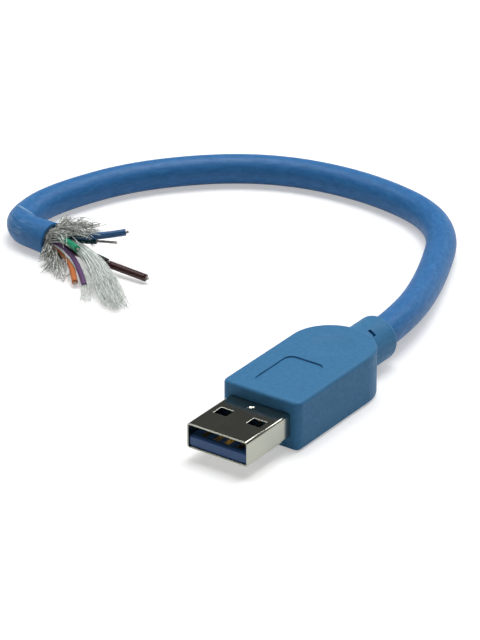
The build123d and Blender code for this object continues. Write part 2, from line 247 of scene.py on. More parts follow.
def build_blotches() -> bpy.types.NodeTree:
    """Soft uneven patches, as of handling: a colour darkened and a roughness raised by noise."""
    tree, b, source, target = new_group(
        "soft_blotches",
        {"Vector": ("Vector", 0.0), "Scale": ("Float", 200.0), "Colour": ("Color", 0.0),
         "Depth": ("Float", 0.1), "Rough Low": ("Float", 0.4), "Rough High": ("Float", 0.5)},
        {"Colour": "Color", "Roughness": "Float"})
    place, scale = source.outputs["Vector"], source.outputs["Scale"]
    noise = b.add("TexNoise", {"Vector": place, "Scale": scale, "Detail": 3.0})
    shade = b.add("Math", {0: noise.outputs["Fac"], 1: source.outputs["Depth"]}, operation="MULTIPLY")
    keep = b.add("Math", {0: 1.0, 1: shade.outputs[0]}, operation="SUBTRACT")
    tint = b.add("VectorMath", {0: source.outputs["Colour"]}, operation="SCALE")
    tree.links.new(keep.outputs[0], tint.inputs["Scale"])
    rough = b.add("MapRange", {
        "Value": noise.outputs["Fac"], "From Min": NOISE_LOW, "From Max": NOISE_HIGH,
        "To Min": source.outputs["Rough Low"], "To Max": source.outputs["Rough High"]})
    tree.links.new(tint.outputs[0], target.inputs["Colour"])
    tree.links.new(rough.outputs[0], target.inputs["Roughness"])
    return tree


def build_streaks() -> bpy.types.NodeTree:
    """Long thin streaks: noise on a vector that is squeezed along the way they run."""
    tree, b, source, target = new_group(
        "drawn_streaks", {"Vector": ("Vector", 0.0), "Stretch": ("Vector", 0.0)}, {"Streak": "Float"})
    squeezed = b.add("VectorMath", {0: source.outputs["Vector"], 1: source.outputs["Stretch"]},
                     operation="MULTIPLY")
    noise = b.add("TexNoise", {"Vector": squeezed.outputs[0], "Scale": 1.0, "Detail": 3.0, "Roughness": 0.6})
    tree.links.new(noise.outputs["Fac"], target.inputs["Streak"])
    return tree


@dataclass(frozen=True)
class Effects:
    """The node groups that the finishes share."""

    grain: bpy.types.NodeTree
    blotches: bpy.types.NodeTree
    streaks: bpy.types.NodeTree


def start_material(name: str) -> tuple[bpy.types.Material, NodeBuilder, bpy.types.Node]:
    """Make an empty material with a Principled shader, and its builder."""
    material = bpy.data.materials.new(name)
    material.use_nodes = True
    tree = material.node_tree
    tree.nodes.clear()
    builder = NodeBuilder(tree)
    shader = builder.add("BsdfPrincipled")
    builder.add("OutputMaterial", {"Surface": shader.outputs["BSDF"]})
    return material, builder, shader


@dataclass(frozen=True)
class Moulded:
    """A moulded or extruded plastic with a fine grain and slightly uneven gloss."""

    name: str
    colour: Colour
    rough: tuple[float, float] = (0.42, 0.52)
    depth: float = 0.12
    patch: float = 160.0
    grain: float = 3500.0
    bump: float = 0.02
    specular: float = 0.4

    def build(self, effects: Effects) -> bpy.types.Material:
        """Make the material: blotched colour and roughness, and a grain bump."""
        material, b, shader = start_material(self.name)
        place = b.add("TexCoord")
        soft = b.group(effects.blotches, {
            "Vector": place.outputs["Object"], "Scale": self.patch, "Colour": (*self.colour, 1.0),
            "Depth": self.depth, "Rough Low": self.rough[0], "Rough High": self.rough[1]})
        grain = b.group(effects.grain, {"Vector": place.outputs["Object"], "Scale": self.grain})
        bump = b.add("Bump", {"Strength": 1.0, "Distance": self.bump * MM, "Height": grain.outputs["Height"]})
        b.tree.links.new(soft.outputs["Colour"], shader.inputs["Base Color"])
        b.tree.links.new(soft.outputs["Roughness"], shader.inputs["Roughness"])
        b.tree.links.new(bump.outputs["Normal"], shader.inputs["Normal"])
        shader.inputs["Specular IOR Level"].default_value = self.specular
        return material


@dataclass(frozen=True)
class Plated:
    """A bare or plated metal with fine rolling marks along one way."""

    name: str
    colour: Colour
    rough: tuple[float, float] = (0.18, 0.3)
    stretch: Point = (9000.0, 500.0, 9000.0)
    bump: float = 0.004
    depth: float = 0.15
    patch: float = 400.0
    dulled: float = 0.12

    def build(self, effects: Effects) -> bpy.types.Material:
        """Make the material: streaked roughness and bump under a blotched metal colour."""
        material, b, shader = start_material(self.name)
        place = b.add("TexCoord")
        streak = b.group(effects.streaks, {"Vector": place.outputs["Object"], "Stretch": self.stretch})
        soft = b.group(effects.blotches, {
            "Vector": place.outputs["Object"], "Scale": self.patch, "Colour": (*self.colour, 1.0),
            "Depth": self.depth, "Rough Low": self.rough[0], "Rough High": self.rough[1]})
        mixed = b.add("Math", {0: streak.outputs["Streak"], 1: self.dulled, 2: soft.outputs["Roughness"]},
                      operation="MULTIPLY_ADD")
        bump = b.add("Bump", {"Strength": 1.0, "Distance": self.bump * MM,
                              "Height": streak.outputs["Streak"]})
        b.tree.links.new(soft.outputs["Colour"], shader.inputs["Base Color"])
        b.tree.links.new(mixed.outputs[0], shader.inputs["Roughness"])
        b.tree.links.new(bump.outputs["Normal"], shader.inputs["Normal"])
        shader.inputs["Metallic"].default_value = 1.0
        return material


@dataclass(frozen=True)
class Strand:
    """Thin strands whose shade differs from one to the next."""

    name: str
    dark: Colour
    light: Colour
    rough: float
    metallic: float
    stretch: Point = (2500.0, 2500.0, 2500.0)
    contrast: tuple[float, float] = (0.35, 0.65)

    def build(self, effects: Effects) -> bpy.types.Material:
        """Make the material: two colours mixed by streaks that run through the strands."""
        material, b, shader = start_material(self.name)
        place = b.add("TexCoord")
        streak = b.group(effects.streaks, {"Vector": place.outputs["Object"], "Stretch": self.stretch})
        spread = b.add("MapRange", {"Value": streak.outputs["Streak"],
                                    "From Min": self.contrast[0], "From Max": self.contrast[1]})
        mixed = b.add("MixRGB", {"Fac": spread.outputs[0], "Color1": (*self.dark, 1.0),
                                 "Color2": (*self.light, 1.0)})
        b.tree.links.new(mixed.outputs["Color"], shader.inputs["Base Color"])
        shader.inputs["Roughness"].default_value = self.rough
        shader.inputs["Metallic"].default_value = self.metallic
        return material


@dataclass(frozen=True)
class Sheathing:
    """The cable's jacket: drawn streaks along it, stress marks at the fold and a painted highlight along its
    crease.

    The streaks and the stress marks each show between two values of their noise, up to a
    third value's share of their colour.
    """

    name: str
    colour: Colour
    streaked: Colour
    # light colour of the stress whitening, also painted along the crease as a highlight
    stressed: Colour
    rough: tuple[float, float] = (0.42, 0.54)
    stretch: Point = (26.0, 420.0, 1.0)
    drawn: tuple[float, float, float] = (0.42, 0.72, 0.55)
    marks: Point = (48.0, 420.0, 1.0)
    strained: tuple[float, float, float] = (0.45, 0.70, 0.7)
    depth: float = 0.22
    patch: float = 900.0
    grain: float = 4500.0
    bump: float = 0.014
    specular: float = 0.3

    def build(self, effects: Effects) -> bpy.types.Material:
        """Make the material from the jacket's own surface places and its two masks, the stress marks and the
        painted highlight along the crease.
        """
        material, b, shader = start_material(self.name)
        place = b.add("TexCoord")
        along = b.group(effects.streaks, {"Vector": place.outputs["UV"], "Stretch": self.stretch})
        soft = b.group(effects.blotches, {
            "Vector": place.outputs["Object"], "Scale": self.patch, "Colour": (*self.colour, 1.0),
            "Depth": self.depth, "Rough Low": self.rough[0], "Rough High": self.rough[1]})
        low, high, most = self.drawn
        spread = b.add("MapRange", {"Value": along.outputs["Streak"], "From Min": low, "From Max": high,
                                    "To Max": most})
        drawn = b.add("MixRGB", {"Fac": spread.outputs[0], "Color1": soft.outputs["Colour"],
                                 "Color2": (*self.streaked, 1.0)})
        marks = b.group(effects.streaks, {"Vector": place.outputs["UV"], "Stretch": self.marks})
        low, high, most = self.strained
        sharp = b.add("MapRange", {"Value": marks.outputs["Streak"], "From Min": low, "From Max": high,
                                   "To Max": most})
        stress = b.add("Attribute", attribute_name="stress")
        # the crease mask paints a highlight along the crease in the stress marks' light colour
        crease = b.add("Attribute", attribute_name="crease")
        marked = b.add("Math", {0: sharp.outputs[0], 1: stress.outputs["Fac"]}, operation="MULTIPLY")
        white = b.add("Math", {0: marked.outputs[0], 1: crease.outputs["Fac"]}, operation="MAXIMUM")
        final = b.add("MixRGB", {"Fac": white.outputs[0], "Color1": drawn.outputs["Color"],
                                 "Color2": (*self.stressed, 1.0)})
        grain = b.group(effects.grain, {"Vector": place.outputs["Object"], "Scale": self.grain})
        bump = b.add("Bump", {"Strength": 1.0, "Distance": self.bump * MM, "Height": grain.outputs["Height"]})
        b.tree.links.new(final.outputs["Color"], shader.inputs["Base Color"])
        b.tree.links.new(soft.outputs["Roughness"], shader.inputs["Roughness"])
        b.tree.links.new(bump.outputs["Normal"], shader.inputs["Normal"])
        shader.inputs["Specular IOR Level"].default_value = self.specular
        return material


def insulation(name: str, colour: Colour) -> Moulded:
    """Give the finish of a thin wire's glossy insulation."""
    return Moulded(name, colour, rough=(0.28, 0.38), bump=0.004)


class Finish(Enum):
    """The finishes of the record's material slots."""

    BLUE_PVC = Moulded("blue_pvc", (0.050, 0.220, 0.440), rough=(0.5, 0.6), depth=0.3, patch=1500.0,
                       bump=0.03, specular=0.25)
    # the third colour is the stress whitening and the painted highlight along the crease
    BLUE_JACKET = Sheathing("blue_jacket", (0.028, 0.170, 0.440), (0.055, 0.235, 0.53), (0.38, 0.57, 0.77))
    MILKY_POLYMER = Moulded("milky_polymer", (0.80, 0.80, 0.76))
    BLUE_INSULATOR = Moulded("blue_insulator", (0.035, 0.115, 0.31), rough=(0.3, 0.4), bump=0.005)
    RED_INSULATION = insulation("red_insulation", (0.055, 0.016, 0.014))
    BLACK_INSULATION = insulation("black_insulation", (0.010, 0.011, 0.011))
    WHITE_INSULATION = insulation("white_insulation", (0.80, 0.80, 0.78))
    GREEN_INSULATION = insulation("green_insulation", (0.02, 0.33, 0.17))
    BLUE_INSULATION = insulation("blue_insulation", (0.03, 0.12, 0.28))
    TEAL_INSULATION = insulation("teal_insulation", (0.006, 0.07, 0.08))
    VIOLET_INSULATION = insulation("violet_insulation", (0.13, 0.055, 0.17))
    ORANGE_INSULATION = insulation("orange_insulation", (0.66, 0.20, 0.06))
    PLATED_STEEL = Plated("plated_steel", (0.41, 0.42, 0.36), rough=(0.10, 0.13), depth=0.04)
    TINPLATE = Plated("tinplate", (0.60, 0.60, 0.60), rough=(0.3, 0.4))
    GOLD_PLATING = Plated("gold_plating", (0.83, 0.60, 0.24))
    ALUMINIUM_FOIL = Plated("aluminium_foil", (0.75, 0.76, 0.77), rough=(0.2, 0.35))
    TINNED_BRAID = Strand("tinned_braid", (0.28, 0.30, 0.27), (0.90, 0.92, 0.88), 0.35, 0.45)
    TINNED_COPPER = Strand("tinned_copper", (0.30, 0.27, 0.25), (0.66, 0.61, 0.56), 0.35, 0.9)
    WHITE_FIBRE = Strand("white_fibre", (0.62, 0.68, 0.63), (0.93, 0.96, 0.93), 0.5, 0.0)


@dataclass
class Palette:
    """The finishes as materials, each built once when a piece first asks for it."""

    effects: Effects
    made: dict[str, bpy.types.Material] = field(default_factory=dict)

    def material(self, slot: str) -> bpy.types.Material:
        """Give the material of one of the record's slots."""
        if slot not in self.made:
            self.made[slot] = Finish[slot.upper()].value.build(self.effects)
        return self.made[slot]


# Cable

CUT_DEPTH = 2.2
JACKET_FRONT = 5.6
PLUG_CENTRE = 4.45


def make_piece(name: str, node: str, points: Array, faces: Array, palette: Palette,
               slot: str, uv: Array | None = None) -> bpy.types.Object:
    """Make a smooth mesh that rides with the object in place of one of its solids.

    Args:
        name: Name of the piece.
        node: Name of the solid that it replaces.
        points: Its points, as (count, 3).
        faces: Its quads, as (count, 4).
        palette: The finishes.
        slot: Material slot of the record that it takes its finish from.
        uv: A place on the surface for each point, as (count, 2), if a pattern needs it.

    Returns:
        The new object, with its place in its mesh.
    """
    mesh = bpy.data.meshes.new(name)
    mesh.from_pydata(points.tolist(), [], faces.tolist())
    mesh.validate()
    mesh.polygons.foreach_set("use_smooth", np.ones(len(mesh.polygons), bool))
    if uv is not None:
        corners = np.empty(len(mesh.loops), np.int32)
        mesh.loops.foreach_get("vertex_index", corners)
        layer = mesh.uv_layers.new(name="surface")
        layer.data.foreach_set("uv", uv[corners].astype(np.float32).ravel())
    mesh.materials.append(palette.material(slot))
    mesh.update()
    piece = bpy.data.objects.new(name, mesh)
    bpy.context.scene.collection.objects.link(piece)
    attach(piece, BODY)
    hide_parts(node)
    LOG.info("%s: %d points, %d faces", name, len(points), len(faces))
    return piece


@dataclass
class Route:
    """The cable's centreline, a smooth curve through its control points."""

    controls: tuple[Point, ...] = (
        (0.0, 0.01935, 0.00445),
        (0.0, 0.03035, 0.00445),
        (-0.0059, 0.04885, 0.00275),
        (-0.0160, 0.07025, 0.00275),
        (-0.0370, 0.07555, 0.00275),
        (-0.0575, 0.07135, 0.00275),
        (-0.0737, 0.05585, 0.00275),
        (-0.08055, 0.03800, 0.00275),
        (-0.08000, 0.02780, 0.00280),
        (-0.07715, 0.02440, 0.00290),
        (-0.0737, 0.02400, 0.00300),
        (-0.0717, 0.02380, 0.00305),
        (-0.0699, 0.02370, 0.00305),
    )
    front: float = JACKET_FRONT * MM
    step: float = 0.0003
    fineness: int = 30

    def line(self) -> Array:
        """Read the points of the route's NURBS curve and space them evenly.

        The line starts at the jacket's front end, straight ahead of the first control.

        Returns:
            Its points from the jacket's front end inside the plug to the cut end.
        """
        curve = bpy.data.curves.new("route", "CURVE")
        curve.dimensions = "3D"
        curve.resolution_u = self.fineness
        spline = curve.splines.new("NURBS")
        spline.points.add(len(self.controls) - 1)
        weighted = np.pad(np.array(self.controls), ((0, 0), (0, 1)), constant_values=1)
        spline.points.foreach_set("co", weighted.ravel())
        spline.order_u = 3
        spline.use_endpoint_u = True
        carrier = bpy.data.objects.new("route", curve)
        bpy.context.scene.collection.objects.link(carrier)
        mesh = bpy.data.meshes.new_from_object(carrier)
        points = np.empty(len(mesh.vertices) * 3, np.float32)
        mesh.vertices.foreach_get("co", points)
        bpy.data.objects.remove(carrier)
        bpy.data.curves.remove(curve)
        bpy.data.meshes.remove(mesh)
        points = points.reshape(-1, 3).astype(float)
        start = points[0] * [1, 0, 1] + [0, self.front, 0]
        points = np.concatenate([start[None], points])
        travel = travelled(points)
        even = np.linspace(0, travel[-1], round(travel[-1] / self.step) + 1)
        return along_line(points, travel, even)


def travelled(points: Array) -> Array:
    """Add up the distance along a line of points."""
    steps = np.linalg.norm(np.diff(points, axis=0), axis=1)
    return np.concatenate([[0.0], np.cumsum(steps)])


def along_line(points: Array, travel: Array, stations: Array) -> Array:
    """Read places on a line of points, or values kept with them, at distances along it."""
    return np.stack([np.interp(stations, travel, points[:, k]) for k in range(points.shape[1])], axis=1)


@dataclass
class Jacket:
    """The cable's extruded jacket, hollow where it was cut and creased at its fold.

    Angles are in turns round the section, and the fold's places in metres back from the
    cut. The folded end swells evenly towards the cut by a share of its radius.
    """

    diameter: float = 0.0055
    wall: float = 0.0006
    bored: float = CUT_DEPTH * MM
    sides: int = 72
    lip: float = 0.00008
    swelling: float = 0.10
    swollen: float = 0.0085
    crease_ends: tuple[tuple[float, float], tuple[float, float]] = ((0.0110, 0.20), (0.0062, 0.47))
    crease_width: float = 0.00022
    crease_height: float = 0.00010
    crease_fade: float = 4.0
    furrow_gap: float = 3.0
    furrow_share: float = 1.6
    stress_middle: tuple[float, float] = (0.0085, 0.03)
    stress_size: tuple[float, float] = (0.0048, 0.14)

    def crease(self, back: Array, turn: Array) -> Array:
        """Mark the crease, which is raised as a ridge and painted with a highlight: a line from one place on
        the surface to another.

        A place's share of the way is its turn between the two ends. The mark is a bell
        curve of its distance from the line, faded out past both ends.
        """
        (first_back, first_turn), (last_back, last_turn) = self.crease_ends
        share = (turn - first_turn) / (last_turn - first_turn)
        middle = first_back + (last_back - first_back) * share
        fade = (np.clip(self.crease_fade * share + 0.5, 0, 1)
                * np.clip(self.crease_fade * (1 - share) + 0.5, 0, 1))
        return np.exp(-(((back - middle) / self.crease_width) ** 2)) * fade

    def stress(self, back: Array, turn: Array) -> Array:
        """Mark the stretched outside of the fold: a bell curve both ways about its middle.

        The turn from the middle is taken the short way round.
        """
        reach = (back - self.stress_middle[0]) / self.stress_size[0]
        swing = (turn - self.stress_middle[1] + 0.5) % 1.0 - 0.5
        return np.exp(-(reach**2) - (swing / self.stress_size[1]) ** 2)

    def build(self, line: Array, palette: Palette) -> bpy.types.Object:
        """Carry the jacket's round section along the line, over its cut edge and back inside.

        A point is the line's point plus the radius times the section's turning spoke. Past
        the cut the stations run back into the bore at the bore's radius, to a closed floor.

        Args:
            line: Points of the centreline.
            palette: The finishes.

        Returns:
            The jacket, as one closed mesh tube.
        """
        travel = travelled(line)
        length = travel[-1]
        radius = self.diameter / 2
        bore = radius - self.wall
        outer = np.concatenate([[0.0], travel[:-1], [length - self.lip]])
        outer_radius = np.concatenate([[0.0], np.full(len(travel), radius)])
        edge = length - np.array([0.0, 0.0, self.lip, self.bored, self.bored])
        edge_radius = np.array([radius - self.lip, bore + self.lip, bore, bore, 0.0])
        station = np.concatenate([outer, edge])
        radii = np.concatenate([outer_radius, edge_radius])
        skin = np.where(radii >= radius, 1.0, 0.0)[:, None]
        radii = radii * (1 + self.swelling * np.clip(1 - (length - station) / self.swollen, 0, 1))
        centre = along_line(line, travel, station)
        across, other = (along_line(way[0], travel, station) for way in tube_frames(line[None]))
        turn, back = np.meshgrid(np.arange(self.sides) / self.sides, length - station)
        # the crease mask raises a small ridge here and, in the finish, paints a highlight along it
        crease, stress = self.crease(back, turn) * skin, self.stress(back, turn) * skin
        angle = 2 * math.pi * turn
        spoke = np.cos(angle)[..., None] * across[:, None] + np.sin(angle)[..., None] * other[:, None]
        behind = self.crease(back + self.furrow_gap * self.crease_width, turn) * skin
        reach = radii[:, None] + self.crease_height * (crease - self.furrow_share * behind)
        points = (centre[:, None] + reach[..., None] * spoke).reshape(-1, 3)
        uv = np.stack(np.broadcast_arrays(turn, station[:, None]), axis=-1).reshape(-1, 2)
        faces = grid_faces(len(station), self.sides)
        piece = make_piece("cable_jacket", "jacket", points, faces, palette, "blue_jacket", uv)
        for name, mask in (("crease", crease), ("stress", stress)):
            layer = piece.data.attributes.new(name, "FLOAT", "POINT")
            layer.data.foreach_set("value", mask.astype(np.float32).ravel())
        return piece


@dataclass
class CutEnd:
    """Directions and places at the cable's cut end."""

    line: Array
    centre: Array = field(init=False)
    out: Array = field(init=False)
    side: Array = field(init=False)
    up: Array = field(init=False)

    def __post_init__(self) -> None:
        """Work out the cut's middle and its three directions from the centreline."""
        self.centre = self.line[-1]
        self.out = unit(self.line[-1] - self.line[-2])
        self.side = unit(np.cross([0.0, 0.0, 1.0], self.out))
        self.up = np.cross(self.out, self.side)

    def place(self, local: Array) -> Array:
        """Turn places as millimetres out of the cut, to its side and up into points."""
        return self.centre + (local * MM) @ np.stack([self.out, self.side, self.up])


def plug_place(local: Array) -> Array:
    """Turn places as millimetres across the plug, along it and up into points."""
    return local * MM


def stranded(path: Array, radius: float, lay: float) -> tuple[Array, Array]:
    """Twist seven thin strands along one path, six of them round the seventh.

    An outer strand's angle grows by one turn for each length of lay, at two thirds of the
    bundle's radius, and every strand is a third of the bundle's radius.

    Args:
        path: Points of the bundle's middle, as (point, 3).
        radius: Radius of the bundle.
        lay: Length of one turn.

    Returns:
        The points and quads of all the strands.
    """
    outer_strands, strand_sides = 6, 6
    across, other = (way[0] for way in tube_frames(path[None]))
    turn = 2 * math.pi * (np.arange(outer_strands)[:, None] / outer_strands + travelled(path) / lay)
    ring = np.cos(turn)[..., None] * across + np.sin(turn)[..., None] * other
    paths = np.concatenate([path[None], path + 2 * radius / 3 * ring])
    return tubes(paths, np.array(radius / 3), strand_sides)


@dataclass(frozen=True)
class Wire:
    """One insulated wire: a tail at the cut end and a lead in the plug, in millimetres.

    The tail's places are out of the cut, to its side and up. The lead starts round the
    bundle at its own angle and ends across the plug and up, where it is soldered. Shares
    are of the way to the tip, or of the wire's radius for the core.
    """

    node: str
    slot: str
    diameter: float
    angle: float
    tip: Point
    lead_angle: float
    solder: tuple[float, float]
    bare: float = 0.5
    ring: float = 1.32
    run_out: float = 2.4
    leave_share: float = 0.38
    arrive_share: float = 0.3
    lead_end: float = -2.35
    core_share: float = 0.42
    core_start: float = -0.3
    lay: float = 3.0
    sides: int = 20
    root_points: int = 4
    tail_points: int = 40
    lead_points: int = 8
    core_points: int = 12

    def tail(self) -> Array:
        """Curve the wire from its place in the bundle, straight out at first, to its tip."""
        turn = math.radians(self.angle)
        root = np.array([-CUT_DEPTH, self.ring * math.cos(turn), self.ring * math.sin(turn)])
        mouth, tip = root + [self.run_out, 0, 0], np.array(self.tip)
        reach = np.linalg.norm(tip - mouth)
        leave = mouth + [self.leave_share * reach, 0, 0]
        arrive = tip - self.arrive_share * reach * unit(tip - leave)
        curve = bezier(np.stack([mouth, leave, arrive, tip])[None], self.tail_points)[0]
        return np.concatenate([np.linspace(root, mouth, self.root_points, endpoint=False), curve])

    def lead(self) -> Array:
        """Run the wire from the jacket's front face in the plug to its solder joint."""
        turn = math.radians(self.lead_angle)
        start = (self.ring * math.cos(turn), JACKET_FRONT, PLUG_CENTRE + self.ring * math.sin(turn))
        end = (self.solder[0], self.lead_end, self.solder[1])
        return np.linspace(start, end, self.lead_points)

    def build(self, cut: CutEnd, palette: Palette) -> bpy.types.Object:
        """Sheathe both ends, and let the twisted core stand out of the tail's tip."""
        radius = self.diameter / 2 * MM
        tail = cut.place(self.tail())
        paths = (tail, plug_place(self.lead()))
        sheath = joined([tubes(path[None], np.array(radius), self.sides) for path in paths])
        heading = unit(tail[-1] - tail[-3])
        along = np.linspace(self.core_start, self.bare, self.core_points)[:, None]
        core_path = tail[-1] + heading * along * MM
        core = stranded(core_path, self.core_share * radius, self.lay * MM)
        piece = make_piece(self.node + "_ends", self.node, *joined([sheath, core]), palette, self.slot)
        piece.data.materials.append(palette.material("tinned_copper"))
        marks = np.zeros(len(piece.data.polygons), np.int32)
        marks[len(sheath[1]):] = 1
        piece.data.polygons.foreach_set("material_index", marks)
        return piece


WIRES = (
    Wire("blue_wire", "blue_insulation", 1.25, 67.5, (12.2, 5.9, 2.8), 22.5, (4.0, 4.9)),
    Wire("teal_wire", "teal_insulation", 1.2, 22.5, (7.9, 2.9, 0.9), 67.5, (2.0, 4.9), bare=3.9),
    Wire("black_wire", "black_insulation", 0.9, -22.5, (12.4, 0.6, -0.8), 202.5, (-3.5, 3.575)),
    Wire("red_wire", "red_insulation", 1.35, -67.5, (20.4, 1.5, -2.0), 337.5, (3.5, 3.575)),
    Wire("white_wire", "white_insulation", 0.9, -112.5, (0.9, -0.5, -1.2), 292.5, (1.0, 3.575), bare=0.2),
    Wire("orange_wire", "orange_insulation", 1.1, -157.5, (11.6, -7.4, -2.1), 157.5, (-4.0, 4.9)),
    Wire("violet_wire", "violet_insulation", 1.0, 157.5, (14.0, -7.6, -2.0), 112.5, (-2.0, 4.9)),
    Wire("green_wire", "green_insulation", 1.2, 112.5, (8.4, -2.9, 1.7), 247.5, (-1.0, 3.575)),
)


@dataclass(frozen=True)
class Drain:
    """A bare twisted drain wire: a tail at the cut end and a lead in the plug, in millimetres."""

    node: str
    side: int
    tip: Point
    solder: Point
    ring: float = 1.75
    radius: float = 0.15
    leave_share: float = 0.4
    lay: float = 2.4
    root_points: int = 6
    curve_points: int = 24

    def build(self, cut: CutEnd, palette: Palette) -> bpy.types.Object:
        """Twist seven strands along the tail's curve and along the straight lead."""
        root = np.array([-CUT_DEPTH, 0.0, self.side * self.ring])
        mouth, tip = root + [CUT_DEPTH, 0, 0], np.array(self.tip)
        middle = mouth + [self.leave_share * np.linalg.norm(tip - mouth), 0, 0]
        controls = np.stack([mouth, middle, 0.5 * (middle + tip), tip])
        curve = bezier(controls[None], self.curve_points)[0]
        straight = np.linspace(root, mouth, self.root_points, endpoint=False)
        tail = cut.place(np.concatenate([straight, curve]))
        start = (0.0, JACKET_FRONT, PLUG_CENTRE + self.side * self.ring)
        lead = plug_place(np.linspace(start, self.solder, self.curve_points))
        both = joined([stranded(path, self.radius * MM, self.lay * MM) for path in (tail, lead)])
        return make_piece(self.node + "_ends", self.node, *both, palette, "tinned_copper")


DRAINS = (
    Drain("upper_drain_wire", 1, (5.4, -0.6, 2.4), (0.0, -2.35, 4.9)),
    Drain("lower_drain_wire", -1, (4.4, 0.9, -2.2), (0.0, -5.15, 2.35)),
)


@dataclass(frozen=True)
class Tuft:
    """Braid strands that leave the rim between two angles and end round one place."""

    count: int
    angles: tuple[float, float]
    tip: Point
    spread: Point
    arch: float = 0.0


@dataclass
class Braid:
    """The cable's tinned braid: woven inside the jacket, combed out past the cut.

    Lengths are millimetres, twist is radians a millimetre, and lowest is how far under
    the cut's middle a strand may lie.
    """

    radius: float = 2.07
    strand: float = 0.06
    sides: int = 5
    carriers: int = 16
    ends: int = 3
    pitch: float = 2.1
    twist: float = 0.36
    woven_end: float = -0.05
    lowest: float = -2.75
    sleeve_radius: float = 2.82
    sleeve_end: float = 11.85
    frill: int = 200
    frill_lean: tuple[float, float] = (0.3, 1.1)
    frill_ahead: tuple[float, float] = (0.6, 2.2)
    frill_stray: float = 0.35
    rim: float = -0.1
    scatter: float = 0.6
    leave_share: float = 0.42
    arrive_share: float = 0.3
    wobble: tuple[float, float] = (0.06, 0.15)
    woven_points: int = 12
    sleeve_points: int = 24
    loose_points: int = 16
    seed: int = 4
    tufts: tuple[Tuft, ...] = (
        Tuft(60, (185, 290), (4.4, -5.4, -2.4), (1.6, 1.2, 0.4), 0.5),
        Tuft(26, (180, 260), (7.6, -7.2, -2.5), (1.6, 1.1, 0.2), 0.8),
        Tuft(50, (150, 235), (1.8, -4.2, -1.4), (1.0, 0.8, 1.0), 0.3),
        Tuft(46, (60, 120), (0.8, 3.2, 3.2), (1.0, 1.0, 0.6), 0.3),
        Tuft(40, (40, 110), (3.6, 3.2, 3.1), (1.6, 1.2, 0.6), 0.5),
        Tuft(44, (20, 80), (6.2, 4.2, 2.9), (1.9, 1.5, 0.7), 0.9),
        Tuft(30, (80, 160), (3.8, -0.4, 2.4), (1.6, 1.2, 0.6), 0.9),
        Tuft(14, (100, 175), (6.2, -2.0, 1.5), (1.8, 1.2, 0.7), 1.0),
        Tuft(26, (55, 110), (7.2, 1.8, 2.4), (2.2, 1.2, 0.6), 0.9),
        Tuft(30, (-40, 60), (6.4, 2.6, 0.6), (1.8, 1.3, 0.8), 0.4),
    )

    def wound(self, radius: float, run: tuple[float, float], samples: int) -> Array:
        """Wind two sets of strands the opposite ways round a sleeve.

        The angle grows evenly along the sleeve, and the radius waves in and out by half a
        strand as one set passes over and under the other.

        Args:
            radius: Middle radius of the sleeve.
            run: Where the sleeve starts and ends along its axis.
            samples: Number of points along each strand.

        Returns:
            Places along the axis and two ways across it, as (strand, point, 3).
        """
        along = np.linspace(*run, samples)
        carrier = np.repeat(np.arange(self.carriers), self.ends) * 2 * math.pi / self.carriers
        within = np.tile(np.arange(self.ends) - (self.ends - 1) / 2, self.carriers)
        place = within * self.pitch * self.strand / radius
        both = []
        for way in (1, -1):
            angle = (carrier + place)[:, None] + way * self.twist * along
            wave = radius + 0.5 * self.strand * way * np.sin(self.carriers * angle)
            run_out = np.broadcast_to(along, angle.shape)
            both.append(np.stack([run_out, wave * np.cos(angle), wave * np.sin(angle)], axis=-1))
        return np.concatenate(both)

    def combed(self, rng: np.random.Generator) -> Array:
        """Curve loose strands from the rim to their tips.

        The short frill leans out all round, and each tuft bends to its own place, raised
        in the middle by its arch.
        """
        start = [rng.uniform(0, 2 * math.pi, self.frill)]
        lean = rng.uniform(*self.frill_lean, self.frill)
        ahead = rng.uniform(*self.frill_ahead, self.frill)
        swing = start[0] + rng.normal(0, self.frill_stray, self.frill)
        out = self.radius + lean
        tips = [np.stack([ahead, out * np.cos(swing), out * np.sin(swing)], axis=1)]
        arch = [np.zeros(self.frill)]
        for tuft in self.tufts:
            low, high = np.radians(tuft.angles)
            start.append(rng.uniform(low, high, tuft.count))
            spread = np.array(tuft.spread) * self.scatter
            tips.append(np.array(tuft.tip) + rng.normal(0, 1, (tuft.count, 3)) * spread)
            arch.append(np.full(tuft.count, tuft.arch))
        angle, tip, arch = np.concatenate(start), np.concatenate(tips), np.concatenate(arch)
        rim = np.stack([np.full(len(angle), self.rim), self.radius * np.cos(angle),
                        self.radius * np.sin(angle)], axis=1)
        reach = np.linalg.norm(tip - rim, axis=1)[:, None]
        first, last = self.wobble
        leave = rim + np.array([self.leave_share, 0, 0]) * reach + rng.normal(0, first, tip.shape) * reach
        arrive = tip - self.arrive_share * reach * unit(tip - leave) + rng.normal(0, last, tip.shape) * reach
        arrive[:, 2] += arch
        return bezier(np.stack([rim, leave, arrive, tip], axis=1), self.loose_points)

    def build(self, cut: CutEnd, palette: Palette) -> bpy.types.Object:
        """Make every strand a thin tube and join them into one piece."""
        rng = np.random.default_rng(self.seed)
        parts: list[tuple[Array, Array]] = []
        thickness = np.array(self.strand * MM)
        woven = self.wound(self.radius, (-CUT_DEPTH, self.woven_end), self.woven_points)
        for paths in (woven, self.combed(rng)):
            paths[..., 2] = np.maximum(paths[..., 2], self.lowest + self.strand)
            parts.append(tubes(cut.place(paths), thickness, self.sides))
        run = (JACKET_FRONT, self.sleeve_end)
        sleeve = self.wound(self.sleeve_radius, run, self.sleeve_points)[..., [1, 0, 2]]
        parts.append(tubes(plug_place(sleeve + [0, 0, PLUG_CENTRE]), thickness, self.sides))
        return make_piece("braid_strands", "braid", *joined(parts), palette, "tinned_braid")


@dataclass(frozen=True)
class Lock:
    """A lock of fibres that follows four places, with half its width and height there."""

    count: int
    places: tuple[Point, Point, Point, Point]
    widths: tuple[float, float, float, float]
    heights: tuple[float, float, float, float]
    shortest: float = 0.72


